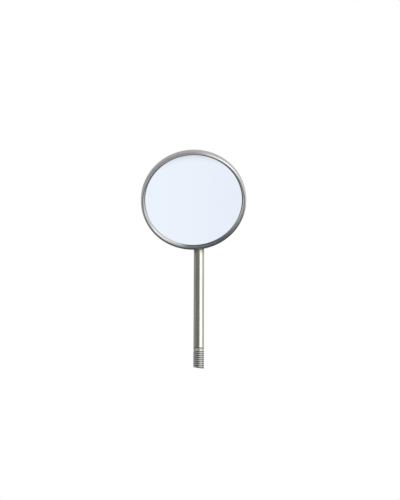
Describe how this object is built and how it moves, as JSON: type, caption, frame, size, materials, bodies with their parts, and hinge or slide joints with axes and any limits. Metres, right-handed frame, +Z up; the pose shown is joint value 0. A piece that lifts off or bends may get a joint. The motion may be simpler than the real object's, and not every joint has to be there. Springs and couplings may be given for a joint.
{
  "type": "mouth mirror",
  "caption": "Round front-coated glass mirror in a rolled steel frame, leaning on a straight stem with a threaded end for a handle.",
  "frame": {"origin": "on the stem's axis at the neck groove above the thread, level with the handle's mouth", "axes": "+Z up the stem towards the head, -Y the side that the mirror faces, +X to the right as the mirror is looked at"},
  "size_m": [0.024, 0.0186, 0.0465],
  "materials": {
    "polished_steel": "polished",
    "satin_steel": "fine satin",
    "stem_steel": "fine turned and polished",
    "weld_metal": "cleaned weld",
    "clear_glass": "polished",
    "mirror_coating": "mirror",
    "pressed_board": "pressed board",
    "sealant": "matt"
  },
  "bodies": {
    "root": {"frame_ring": "polished_steel", "back_plate": "satin_steel", "backing_board": "pressed_board", "mirror_glass": "clear_glass", "mirror_coat": "mirror_coating", "edge_seal": "sealant", "stem": "stem_steel", "weld_bead": "weld_metal"}
  },
  "joints": []
}
